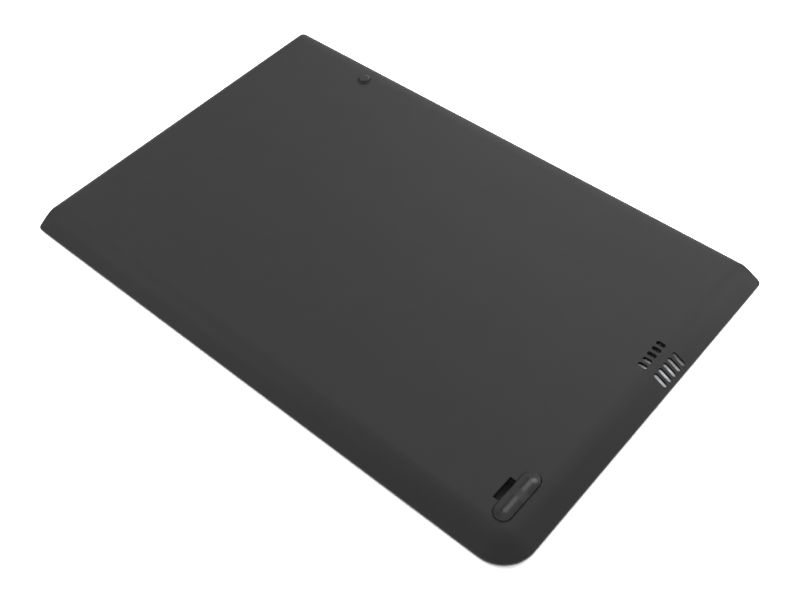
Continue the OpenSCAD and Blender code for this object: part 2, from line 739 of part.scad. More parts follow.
module gauge_chip() {
  on_board(-gauge_x) leaded_chip(gauge_size, leads = 11, pitch = 0.65);
}

module protector_chip() {
  on_board(protector_x) leaded_chip(protector_size, leads = 4, pitch = 0.65);
}

module power_mosfets() {
  for (k = [1:mosfets]) on_board(-fuse_x - k * mosfet_pitch)
    leaded_chip(mosfet_size, leads = 4, pitch = 1.27);
}

module pack_fuse() {
  color("#c9b48a") on_board(-fuse_x) block([-fuse_size[0] / 2, -fuse_size[1] / 2, 0],
      [fuse_size[0] / 2, fuse_size[1] / 2, fuse_size[2]]);
}

module sense_resistor() {
  color("#26262a") on_board(fuse_x) block([-sense_size[0] / 2, -sense_size[1] / 2, 0],
      [sense_size[0] / 2, sense_size[1] / 2, sense_size[2]]);
}

// Two banks of small parts, on either side of the second protector chip
module chip_components() {
  columns = 5;
  pitch_x = 2.6;
  pitch_y = 2.0;
  chip_room = 6;
  bank_w = (columns - 1) * pitch_x;
  color("#a58f6e") for (x0 = [protector_x - chip_room - bank_w, protector_x + chip_room])
    for (i = [0:columns - 1], j = [-1:1]) on_board(x0 + i * pitch_x)
      translate([0, j * pitch_y, 0]) block([-small_size[0] / 2, -small_size[1] / 2, 0],
          [small_size[0] / 2, small_size[1] / 2, small_size[2]]);
}

// Middle of blade k along X
function blade_x(k) = conn_x + (k - (blades - 1) / 2) * conn_pitch;

module connector_housing() {
  mouth = 1.2;
  roof = conn_z + blade_slot_h;
  room_w = leaf_gap + 2 * leaf_t + 0.6;
  color("#151517") in_place() difference() {
    block([conn_x - conn_w / 2, conn_y0, conn_z], [conn_x + conn_w / 2, fy1, conn_z + conn_h]);
    for (k = [0:blades - 1]) translate([blade_x(k), 0, 0]) {
      block([-blade_slot_w / 2, fy1 - blade_slot_dep, conn_z - past], [blade_slot_w / 2, fy1 + past, roof]);
      block([-room_w / 2, fy1 - blade_slot_dep, conn_z + mouth / 2], [room_w / 2, fy1 - mouth, roof]);
      block([-tail_w / 2, conn_y0 - past, board_top],
          [tail_w / 2, fy1 - blade_slot_dep + past, board_top + tail_t]);
    }
  }
}

// Each contact: two leaves that grip a blade, the base that joins them and the tail on the board
module connector_contacts() {
  low = conn_z + 1.0;
  base = 0.8;
  gap_in = 0.1;
  y0 = fy1 - blade_slot_dep + gap_in;
  y1 = fy1 - 2;
  w = leaf_gap + 2 * leaf_t;
  color("#c9a24a") in_place() for (k = [0:blades - 1]) translate([blade_x(k), 0, 0]) {
    block([-w / 2, y0, low], [w / 2, y0 + base, board_top + tail_t]);
    for (s = [0, 1]) mirror([s, 0, 0]) block([leaf_gap / 2, y0, low], [w / 2, y1, board_top]);
    block([-tail_w / 2, conn_y0 - tail_len, board_top], [tail_w / 2, y0 + base / 2, board_top + tail_t]);
  }
}

// Thermistor bead on the second cell's terrace, with its two leads back to the board
module temperature_sensor() {
  bead = [2.4, 1.6, 1.1];
  lead_w = 0.3;
  z0 = cell_mid_z + terrace_t / 2;
  y0 = cell_y1 + terrace_len / 2;
  color("#2b2b2d") in_place() translate([cell_x(1) + cell_w / 2, y0, z0])
    block([-bead[0] / 2, -bead[1] / 2, 0], [bead[0] / 2, bead[1] / 2, bead[2]]);
  color("#b5b5b0") in_place() translate([cell_x(1) + cell_w / 2, 0, 0]) for (s = [0, 1]) mirror([s, 0, 0]) {
    block([lead_w, y0 + bead[1] / 4, z0], [2 * lead_w, lead_y, z0 + lead_w]);
    block([lead_w, lead_y - lead_w, board_top], [2 * lead_w, lead_y, z0 + lead_w]);
  }
}

module tab_insulation_tape() {
  top = tab_z + tab_t;
  edge = 0.5;
  slit = 1.6;
  color("#9a6a1f") in_place() difference() {
    block([tab_x(0, -1) - tab_w / 2 - edge, cell_y1 + terrace_len + edge, top],
        [tab_x(cells - 1, 1) + tab_w / 2 + edge, tab_y1 + edge, top + film_t]);
    // Slit for the thermistor's leads
    translate([cell_x(1) + cell_w / 2, 0, 0]) block([-slit / 2, cell_y1, top - past],
        [slit / 2, lead_y + edge, top + past]);
  }
}

outer_cover();
rubber_foot();
foot_adhesive();
rear_bumper();
inner_frame();
for (k = [0:cells - 1]) {
  cell(k);
  cell_pad(k, cell_z + cell_t, cover_under, "#e4e2da");
  cell_pad(k, sheet_top, cell_z, "#37373a");
}
cell_backing_sheet();
for (k = [0:cells]) nickel_strip(k);
protection_board();
gauge_chip();
protector_chip();
power_mosfets();
pack_fuse();
sense_resistor();
chip_components();
connector_housing();
connector_contacts();
temperature_sensor();
tab_insulation_tape();
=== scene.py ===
"""Looks of a flat laptop battery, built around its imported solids.

Lengths are in metres, in the frame of the solids: X runs along the pack, Y from the bevelled front
edge to the rear edge, and Z up, with the origin on the resting plane under the middle of the cover.
"""

from __future__ import annotations

import logging
import math
from dataclasses import dataclass, field
from enum import Enum

import bmesh
import bpy
from mathutils import Matrix, Vector
from mathutils.bvhtree import BVHTree


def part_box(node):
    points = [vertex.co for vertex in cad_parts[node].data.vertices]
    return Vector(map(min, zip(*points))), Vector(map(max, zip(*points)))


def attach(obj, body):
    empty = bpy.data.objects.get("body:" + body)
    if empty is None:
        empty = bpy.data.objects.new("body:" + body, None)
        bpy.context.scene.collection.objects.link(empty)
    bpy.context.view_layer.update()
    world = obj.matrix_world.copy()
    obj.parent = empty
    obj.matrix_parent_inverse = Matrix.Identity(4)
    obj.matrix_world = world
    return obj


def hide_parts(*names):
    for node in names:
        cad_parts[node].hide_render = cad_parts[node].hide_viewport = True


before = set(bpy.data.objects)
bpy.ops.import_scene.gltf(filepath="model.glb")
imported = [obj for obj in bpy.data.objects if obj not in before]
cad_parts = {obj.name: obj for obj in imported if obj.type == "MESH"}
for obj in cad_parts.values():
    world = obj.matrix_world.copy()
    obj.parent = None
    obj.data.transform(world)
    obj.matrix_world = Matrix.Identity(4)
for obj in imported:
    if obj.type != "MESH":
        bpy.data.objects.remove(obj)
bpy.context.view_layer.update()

log = logging.getLogger("battery")

MM = 0.001
ROOT = "root"

Colour = tuple[float, float, float]
Place = tuple[float, float, float]
Spot = tuple[float, float]
Span = tuple[float, float]
Shape = bmesh.types.BMesh
Socket = bpy.types.NodeSocket
Sockets = bpy.types.bpy_prop_collection


class Slot(Enum):
    """The record's material slots."""

    COVER = "cover_plastic"
    RUBBER = "rubber"
    BUMPER = "bumper_rubber"
    ADHESIVE = "adhesive"
    FRAME = "frame_plastic"
    SHEET = "sheet_film"
    POUCH = "pouch_foil"
    TAPE = "white_tape"
    FOAM = "foam"
    NICKEL = "nickel"
    BOARD = "board_green"
    CHIP = "chip_body"
    FUSE = "fuse_ceramic"
    CERAMIC = "chip_ceramic"
    HOUSING = "housing_plastic"
    CONTACT = "contact_gold"
    FILM = "amber_film"


class Relief(Enum):
    """How a finish's surface is textured."""

    GRAIN = "grain"
    BRUSHED = "brushed"
    CELLS = "cells"
    CREASED = "creased"


class Tree:
    """Adds linked nodes to a node tree in one call each."""

    # A mix node's sockets for colours: the factor and the two colours, and the result
    MIX_INPUTS = (0, 6, 7)
    MIX_OUTPUT = 2

    def __init__(self, tree: bpy.types.NodeTree) -> None:
        """Takes the tree that the nodes go into.

        Args:
            tree: a material's, a world's or a group's node tree.
        """
        self.tree = tree
        # Coordinates on the surface that the tree colours
        self.where: Socket | None = None

    def add(self, kind: str, inputs: dict | None = None, **settings: object) -> bpy.types.Node:
        """Adds one node.

        Args:
            kind: the node's type name.
            inputs: sockets by name or number, each with a value, a colour or a socket to link.
            settings: properties of the node.

        Returns:
            The new node.
        """
        node = self.tree.nodes.new(kind)
        for key, value in settings.items():
            setattr(node, key, value)
        for key, value in (inputs or {}).items():
            socket = node.inputs[key]
            if isinstance(value, Socket):
                self.tree.links.new(value, socket)
            else:
                socket.default_value = (*value, 1.0) if socket.type == "RGBA" else value
        return node

    def group(self, tree: bpy.types.NodeTree, **inputs: object) -> Sockets:
        """Adds a node group for the surface and returns its outputs."""
        return self.add("ShaderNodeGroup", {"Vector": self.where, **inputs}, node_tree=tree).outputs

    def apart(self, vector: Socket) -> Sockets:
        """Takes a vector apart and returns its X, Y and Z."""
        return self.add("ShaderNodeSeparateXYZ", {0: vector}).outputs

    def level(self) -> Socket:
        """Gives how level the face is, from 0 on an upright one to 1."""
        facing = self.add("ShaderNodeNewGeometry").outputs["True Normal"]
        return self.math("ABSOLUTE", self.apart(facing)["Z"])

    def math(self, operation: str, *values: object, clamp: bool = False) -> Socket:
        """Adds a math node and returns its result.

        Args:
            operation: the name of the operation.
            values: its one to three operands.
            clamp: whether the result stays between 0 and 1.

        Returns:
            The socket with the result.
        """
        operands = dict(enumerate(values))
        node = self.add("ShaderNodeMath", operands, operation=operation, use_clamp=clamp)
        return node.outputs[0]

    def weigh(self, first: Socket, second: Socket, shares: Span) -> Socket:
        """Adds two values up by their shares."""
        return self.math("MULTIPLY_ADD", second, shares[1], self.math("MULTIPLY", first, shares[0]))

    def noise(self, scale: object, detail: float = 2.0, where: Socket | None = None) -> Socket:
        """Gives a noise around 0.5, with so many features in a metre and so many finer layers."""
        inputs = {"Vector": where or self.where, "Scale": scale, "Detail": detail}
        return self.add("ShaderNodeTexNoise", inputs).outputs["Fac"]

    def ramp(self, value: object, low: float, high: float) -> Socket:
        """Stretches a value so that low becomes 0 and high 1, and keeps it between them."""
        limits = {"Value": value, "From Min": low, "From Max": high}
        return self.add("ShaderNodeMapRange", limits).outputs["Result"]

    def within(self, middles: Spot | Place, halves: Spot | Place) -> Socket:
        """Finds what of the surface lies in a box.

        Args:
            middles: the middle of the box along X, Y and Z, or along the first two.
            halves: half of the box along the same axes.

        Returns:
            1 inside the box and 0 elsewhere.
        """
        place = self.apart(self.where)
        inside = 1.0
        for axis, middle, half in zip("XYZ", middles, halves):
            near = self.math("COMPARE", place[axis], middle, half)
            inside = self.math("MULTIPLY", inside, near)
        return inside

    def mix(self, factor: object, first: object, second: object) -> Socket:
        """Mixes two colours, with the factor as the share of the second one."""
        inputs = dict(zip(self.MIX_INPUTS, (factor, first, second)))
        return self.add("ShaderNodeMix", inputs, data_type="RGBA").outputs[self.MIX_OUTPUT]


def emptied(block: bpy.types.Material | bpy.types.World) -> Tree:
    """Empties a node tree.

    Args:
        block: the material or the world that it belongs to.

    Returns:
        The tree, ready for new nodes.
    """
    block.use_nodes = True
    block.node_tree.nodes.clear()
    return Tree(block.node_tree)


def show(name: str, data: bpy.types.ID) -> bpy.types.Object:
    """Makes an object and puts it in the scene.

    Args:
        name: the object's name.
        data: its mesh, lamp or camera.

    Returns:
        The object.
    """
    shown = bpy.data.objects.new(name, data)
    bpy.context.scene.collection.objects.link(shown)
    return shown


class Group:
    """A shader node group under construction, with coordinates and named inputs and outputs."""

    KINDS = {"value": "NodeSocketFloat", "colour": "NodeSocketColor", "vector": "NodeSocketVector"}

    def __init__(self, name: str, inputs: dict[str, str], outputs: dict[str, str]) -> None:
        """Makes the group's interface.

        Args:
            name: the group's name.
            inputs: each further input's name and kind.
            outputs: each output's name and kind.
        """
        inputs = {"Vector": "vector", **inputs}
        self.tree = bpy.data.node_groups.new(name, "ShaderNodeTree")
        for way, sockets in (("INPUT", inputs), ("OUTPUT", outputs)):
            for socket, kind in sockets.items():
                self.tree.interface.new_socket(socket, in_out=way, socket_type=self.KINDS[kind])
        self.nodes = Tree(self.tree)
        self.source = self.nodes.add("NodeGroupInput").outputs
        self.nodes.where = self.source["Vector"]
        self.result = self.nodes.add("NodeGroupOutput").inputs

    def put(self, name: str, socket: Socket) -> None:
        """Links a socket to one of the group's outputs."""
        self.tree.links.new(socket, self.result[name])


class Effects:
    """The effects that several finishes share, each a node group that is built once."""

    # Grain: how many broad bumps there are for a fine one, and the shares of fine and broad
    GRAIN_BROAD = 0.37
    GRAIN_SHARES: Span = (0.55, 0.45)
    # Clouds: how many patches there are for a broad one, and the shares of broad and patchy
    CLOUD_PATCHES = 4.3
    CLOUD_SHARES: Span = (0.7, 0.3)
    # Dust: how far a face looks up where dust starts and where it is full, the specks in a metre
    # and the noise that they take up, and the same of the veil between them, with its share
    DUST_FACES: Span = (0.3, 0.95)
    SPECKS = 2600.0
    SPECK_NOISE: Span = (0.66, 0.74)
    VEIL = 90.0
    VEIL_NOISE: Span = (0.35, 0.8)
    VEIL_SHARE = 0.25
    # Wear: the bend where an edge starts and where it is full, the patches in a metre, the noise
    # that they take up, and the patchy share of the wear
    EDGE_BEND: Span = (0.01, 0.16)
    WEAR_PATCHES = 420.0
    WEAR_NOISE: Span = (0.3, 0.7)
    WEAR_PATCHY = 0.6
    BEVEL_SAMPLES = 4

    def __init__(self) -> None:
        """Builds every group."""
        self.grain = self._grain()
        self.clouds = self._clouds()
        self.dust = self._dust()
        self.edges = self._edges()

    def _grain(self) -> bpy.types.NodeTree:
        """Builds the fine grain that a spark-eroded mould leaves.

        Returns:
            The group. Its Height is the relief.
        """
        group = Group("fine_grain", {"Scale": "value"}, {"Height": "value"})
        nodes, scale = group.nodes, group.source["Scale"]
        fine = nodes.noise(scale, detail=3.0)
        broad = nodes.noise(nodes.math("MULTIPLY", scale, self.GRAIN_BROAD), detail=1.0)
        group.put("Height", nodes.weigh(fine, broad, self.GRAIN_SHARES))
        return group.tree

    def _clouds(self) -> bpy.types.NodeTree:
        """Builds the slow drift of tone that a large moulded or rolled face has.

        Returns:
            The group. Its Color is the toned colour and its Drift is the pattern, from 0 to 1.
        """
        group = Group(
            "cloudy_tone",
            {"Color": "colour", "Amount": "value", "Scale": "value"},
            {"Color": "colour", "Drift": "value"},
        )
        nodes, source = group.nodes, group.source
        broad = nodes.noise(source["Scale"])
        scale = nodes.math("MULTIPLY", source["Scale"], self.CLOUD_PATCHES)
        patchy = nodes.noise(scale, detail=3.0)
        drift = nodes.weigh(broad, patchy, self.CLOUD_SHARES)
        swing = nodes.math("MULTIPLY", nodes.math("SUBTRACT", drift, 0.5), source["Amount"])
        tone = {0: source["Color"], "Scale": nodes.math("ADD", swing, 1.0)}
        group.put("Color", nodes.add("ShaderNodeVectorMath", tone, operation="SCALE").outputs[0])
        group.put("Drift", drift)
        return group.tree

    def _dust(self) -> bpy.types.NodeTree:
        """Builds the thin dust that lies on faces that look up.

        Returns:
            The group. Its Mask is where the dust lies.
        """
        group = Group("settled_dust", {"Amount": "value"}, {"Mask": "value"})
        nodes = group.nodes
        up = nodes.apart(nodes.add("ShaderNodeNewGeometry").outputs["Normal"])
        level = nodes.ramp(up["Z"], *self.DUST_FACES)
        specks = nodes.ramp(nodes.noise(self.SPECKS), *self.SPECK_NOISE)
        veil = nodes.ramp(nodes.noise(self.VEIL, detail=4.0), *self.VEIL_NOISE)
        veil = nodes.math("MULTIPLY", veil, self.VEIL_SHARE)
        lying = nodes.math("MULTIPLY", nodes.math("MAXIMUM", specks, veil), level)
        group.put("Mask", nodes.math("MULTIPLY", lying, group.source["Amount"], clamp=True))
        return group.tree

    def _edges(self) -> bpy.types.NodeTree:
        """Builds the mask of the outer edges that use has scuffed.

        Returns:
            The group. Its Mask is 1 at an edge and fades within Radius.
        """
        group = Group("edge_wear", {"Radius": "value", "Amount": "value"}, {"Mask": "value"})
        nodes, source = group.nodes, group.source
        bevel = {"Radius": source["Radius"]}
        rounded = nodes.add("ShaderNodeBevel", bevel, samples=self.BEVEL_SAMPLES).outputs[0]
        true = nodes.add("ShaderNodeNewGeometry").outputs["Normal"]
        facing = nodes.add("ShaderNodeVectorMath", {0: rounded, 1: true}, operation="DOT_PRODUCT")
        bend = nodes.ramp(nodes.math("SUBTRACT", 1.0, facing.outputs["Value"]), *self.EDGE_BEND)
        patchy = nodes.ramp(nodes.noise(self.WEAR_PATCHES, detail=3.0), *self.WEAR_NOISE)
        patchy = nodes.math("MULTIPLY_ADD", patchy, self.WEAR_PATCHY, 1 - self.WEAR_PATCHY)
        worn_and_lit = nodes.math("MULTIPLY", bend, patchy)
        group.put("Mask", nodes.math("MULTIPLY", worn_and_lit, source["Amount"], clamp=True))
        return group.tree


@dataclass(frozen=True)
class Finish:
    """One material: its colour, its gloss and the relief of its surface."""

    name: str
    colour: Colour
    roughness: float
    relief: Relief = Relief.GRAIN
    # Features of the relief in a metre, and its height
    relief_scale: float = 5000.0
    relief_depth: float = 0.02 * MM
    # How far the tone and the gloss drift over a face, and the drifts in a metre
    tone_drift: float = 0.1
    gloss_drift: float = 0.08
    drift_scale: float = 14.0
    dust: float = 0.1
    dust_colour: Colour = (0.32, 0.31, 0.3)
    # Rubbed edges: the reach, how strong they show and how far they lighten the colour
    wear_radius: float = 0.35 * MM
    wear: float = 0.4
    wear_gain: float = 1.5
    metallic: float = 0.0
    specular: float = 0.5
    sheen: float = 0.0
    coat: float = 0.0
    coat_roughness: float = 0.2
    # What wear and dust add to the roughness
    wear_gloss: float = -0.12
    dust_gloss: float = 0.3
    # The stretch of brushed lines, the distances between which a foam cell rises, and how fine and
    # how twisted creases are
    brush_scale: Place = (0.04, 1.0, 1.0)
    cell_rise: Span = (0.1, 0.6)
    crease_detail: float = 4.0
    crease_twist: float = 1.4

    def build(self, effects: Effects) -> bpy.types.Material:
        """Makes the material.

        Args:
            effects: the node groups that it uses.

        Returns:
            The new material.
        """
        material = bpy.data.materials.new(self.name)
        nodes = emptied(material)
        nodes.where = nodes.add("ShaderNodeTexCoord").outputs["Object"]
        height = self.height(nodes, effects)
        toned = nodes.group(
            effects.clouds, Color=self.pattern(nodes), Amount=2 * self.tone_drift,
            Scale=self.drift_scale,
        )
        worn_and_lit = nodes.group(effects.edges, Radius=self.wear_radius, Amount=self.wear)["Mask"]
        dust = nodes.group(effects.dust, Amount=self.dust)["Mask"]
        rubbed_and_glint = tuple(min(c * self.wear_gain, 1.0) for c in self.colour)
        colour = nodes.mix(worn_and_lit, toned["Color"], rubbed_and_glint)
        colour = nodes.mix(dust, colour, self.dust_colour)
        gloss = nodes.math("SUBTRACT", toned["Drift"], 0.5)
        gloss = nodes.math("MULTIPLY_ADD", gloss, 2 * self.gloss_drift, self.roughness)
        gloss = nodes.math("ADD", gloss, self.scuff(nodes))
        gloss = nodes.math("MULTIPLY_ADD", worn_and_lit, self.wear_gloss, gloss)
        gloss = nodes.math("MULTIPLY_ADD", dust, self.dust_gloss, gloss, clamp=True)
        relief = {"Height": height, "Distance": self.relief_depth, "Strength": 1.0}
        bump = nodes.add("ShaderNodeBump", relief)
        shader = nodes.add(
            "ShaderNodeBsdfPrincipled",
            {
                "Base Color": colour,
                "Roughness": gloss,
                "Metallic": self.metallic,
                "Specular IOR Level": self.specular,
                "Sheen Weight": self.sheen,
                "Coat Weight": self.coat,
                "Coat Roughness": self.coat_roughness,
                "Normal": bump.outputs["Normal"],
            },
        )
        nodes.add("ShaderNodeOutputMaterial", {"Surface": shader.outputs["BSDF"]})
        return material

    def pattern(self, nodes: Tree) -> Socket | Colour:
        """Gives the colour before its drift, wear and dust."""
        return self.colour

    def scuff(self, nodes: Tree) -> Socket | float:
        """Gives the roughness that use has added."""
        return 0.0

    def height(self, nodes: Tree, effects: Effects) -> Socket:
        """Gives the relief.

        Args:
            nodes: the material's nodes.
            effects: the shared groups.

        Returns:
            The height, from 0 to 1.
        """
        features = {"Vector": nodes.where, "Scale": self.relief_scale}
        if self.relief is Relief.BRUSHED:
            lines = {"Vector": nodes.where, "Scale": self.brush_scale}
            lines = nodes.add("ShaderNodeMapping", lines).outputs["Vector"]
            return nodes.noise(self.relief_scale, where=lines)
        if self.relief is Relief.CELLS:
            cells = nodes.add("ShaderNodeTexVoronoi", features)
            return nodes.ramp(cells.outputs["Distance"], *self.cell_rise)
        if self.relief is Relief.CREASED:
            features |= {"Detail": self.crease_detail, "Distortion": self.crease_twist}
            return nodes.add("ShaderNodeTexNoise", features).outputs["Fac"]
        return nodes.group(effects.grain, Scale=self.relief_scale)["Height"]


@dataclass(frozen=True)
class PaintedFinish(Finish):
    """A paint on the outer face, which rolls off softly at the straight edges.

    It stops at the walls of the slots, where the resin shows, darker also as painted shade inside
    the slots.
    """

    # Colour of the slot walls: bare resin, and painted shade inside the slots
    resin_and_shade: Colour = (0.009, 0.009, 0.0092)
    # What the bare resin is rougher by
    resin_rough: float = 0.45
    # Where the straight edges are, how wide their roll is, how far it drops and how it bends
    rear_edge: float = 94.0 * MM
    left_edge: float = -145.0 * MM
    roll_width: float = 6.5 * MM
    roll_drop: float = 0.7 * MM
    roll_power: float = 2.0
    # Middle of the slots and half of what they take up, along X and along Y
    slots_middle: Spot = (135.5 * MM, 24.4 * MM)
    slots_half: Spot = (8.2 * MM, 9.2 * MM)
    # The most level that a face is which counts as a wall
    wall_level: float = 0.3

    def pattern(self, nodes: Tree) -> Socket:
        """Gives the paint, and on the walls of the slots the resin with painted shade."""
        return nodes.mix(self.walls(nodes), self.colour, self.resin_and_shade)

    def scuff(self, nodes: Tree) -> Socket:
        """Gives what the walls of the slots are rougher by."""
        return nodes.math("MULTIPLY", self.walls(nodes), self.resin_rough)

    def height(self, nodes: Tree, effects: Effects) -> Socket:
        """Gives the grain, and the roll along the straight edges.

        Args:
            nodes: the material's nodes.
            effects: the shared groups.

        Returns:
            The height, which goes far below 0 in the roll.
        """
        grain = super().height(nodes, effects)
        place = nodes.apart(nodes.where)
        rear = nodes.ramp(place["Y"], self.rear_edge - self.roll_width, self.rear_edge)
        left = nodes.ramp(place["X"], self.left_edge + self.roll_width, self.left_edge)
        near = nodes.math("POWER", nodes.math("MAXIMUM", rear, left), self.roll_power)
        return nodes.math("MULTIPLY_ADD", near, -self.roll_drop / self.relief_depth, grain)

    def walls(self, nodes: Tree) -> Socket:
        """Gives 1 on the walls of the slots and 0 elsewhere."""
        wall = nodes.math("LESS_THAN", nodes.level(), self.wall_level)
        return nodes.math("MULTIPLY", wall, nodes.within(self.slots_middle, self.slots_half))


@dataclass(frozen=True)
class RubberFinish(Finish):
    """A rubber whose upright sides are paler, with dust and with painted light that lifts the shade
    in their groove.
    """

    # Colour of the upright sides: dust, and painted light lifting their shade
    side_dust_and_light: Colour = (0.11, 0.11, 0.108)
    # How level a face is where the dust and painted light of the sides start and where they are
    # full
    dusty_lit_sides: Span = (0.6, 0.2)

    def pattern(self, nodes: Tree) -> Socket:
        """Gives the rubber, with dust and painted light on its upright sides."""
        dusty_lit = nodes.ramp(nodes.level(), *self.dusty_lit_sides)
        return nodes.mix(dusty_lit, self.worn_and_lit(nodes), self.side_dust_and_light)

    def worn_and_lit(self, nodes: Tree) -> Socket | Colour:
        """Gives the rubber's colour, with any painted light that a kind of rubber adds."""
        return self.colour


@dataclass(frozen=True)
class FootFinish(RubberFinish):
    """A rubber, dulled across its middle and ends, with painted light on its right flank and a
    painted glint.
    """

    # The dull band: its middle, half of its width, the part of that which is full, and what it is
    # rougher by
    scuff_y: float = -65.7 * MM
    scuff_half: float = 2.6 * MM
    scuff_core: float = 0.3
    scuff_depth: float = 0.2
    # The dull ends: the foot's middle, how far from it they start and are full, and what they are
    # rougher by
    ends_y: float = -66.9 * MM
    end_start: float = 9.2 * MM
    end_full: float = 10.4 * MM
    end_depth: float = 0.4
    # The painted glint near the rear end: its middle, how far it reaches, the part of that which is
    # full, and its colour
    glint_middle: Place = (129.0 * MM, -57.4 * MM, 10.1 * MM)
    glint_reach: float = 1.5 * MM
    glint_core: float = 0.4
    rubbed_and_glint: Colour = (0.18, 0.18, 0.181)
    # Painted light on the right flank, where the highlight runs broader: where it starts, where it
    # is full, and its colour
    lit_flank_start: float = 126.4 * MM
    lit_flank_full: float = 129.0 * MM
    lit_flank: Colour = (0.048, 0.048, 0.049)

    def worn_and_lit(self, nodes: Tree) -> Socket:
        """Gives the rubber with painted light on its right flank and a painted glint.

        Args:
            nodes: the material's nodes.

        Returns:
            The colour.
        """
        # Painted light: the right flank is paler, where the lamps' highlight runs broader
        lit_flank = nodes.ramp(nodes.apart(nodes.where)["X"], self.lit_flank_start, self.lit_flank_full)
        colour = nodes.mix(lit_flank, self.colour, self.lit_flank)
        # A painted glint: a pale spot near the rear end, where a lamp's highlight falls
        ends = {0: nodes.where, 1: self.glint_middle}
        away = nodes.add("ShaderNodeVectorMath", ends, operation="DISTANCE").outputs["Value"]
        spot = nodes.ramp(away, self.glint_reach, self.glint_core * self.glint_reach)
        return nodes.mix(spot, colour, self.rubbed_and_glint)

    def scuff(self, nodes: Tree) -> Socket:
        """Gives the roughness of the dulled band and ends.

        Args:
            nodes: the material's nodes.

        Returns:
            The roughness that it adds.
        """
        place = nodes.apart(nodes.where)["Y"]
        away = nodes.math("ABSOLUTE", nodes.math("SUBTRACT", place, self.scuff_y))
        band = nodes.ramp(away, self.scuff_half, self.scuff_core * self.scuff_half)
        out = nodes.math("ABSOLUTE", nodes.math("SUBTRACT", place, self.ends_y))
        ends = nodes.ramp(out, self.end_start, self.end_full)
        ends = nodes.math("MULTIPLY", ends, self.end_depth)
        return nodes.math("MULTIPLY_ADD", band, self.scuff_depth, ends)


@dataclass(frozen=True)
class FrameFinish(Finish):
    """A black resin, with painted light in the box behind the cover's window and on the end of the
    speaker bay under the slots.
    """

    # Painted light lifting the shade inside the box behind the window
    box_painted_light: Colour = (0.18, 0.18, 0.182)
    # Middle of the box and half of its inside, along X, Y and Z
    box_middle: Place = (121.05 * MM, -67.05 * MM, 4.5 * MM)
    box_half: Place = (2.6 * MM, 6.1 * MM, 4.0 * MM)
    # Painted light on the end of the speaker bay, standing in for light through the slots
    bay_painted_light: Colour = (0.24, 0.24, 0.242)
    # Middle of the painted light on the end of the speaker bay, seen through the slots, and half of
    # what it takes up
    bay_middle: Place = (128.0 * MM, 30.0 * MM, 3.9 * MM)
    bay_half: Place = (9.0 * MM, 0.9 * MM, 3.7 * MM)

    def pattern(self, nodes: Tree) -> Socket:
        """Gives the resin, and painted light inside the box and on the end of the bay."""
        with_box_light = nodes.mix(nodes.within(self.box_middle, self.box_half), self.colour, self.box_painted_light)
        return nodes.mix(nodes.within(self.bay_middle, self.bay_half), with_box_light, self.bay_painted_light)


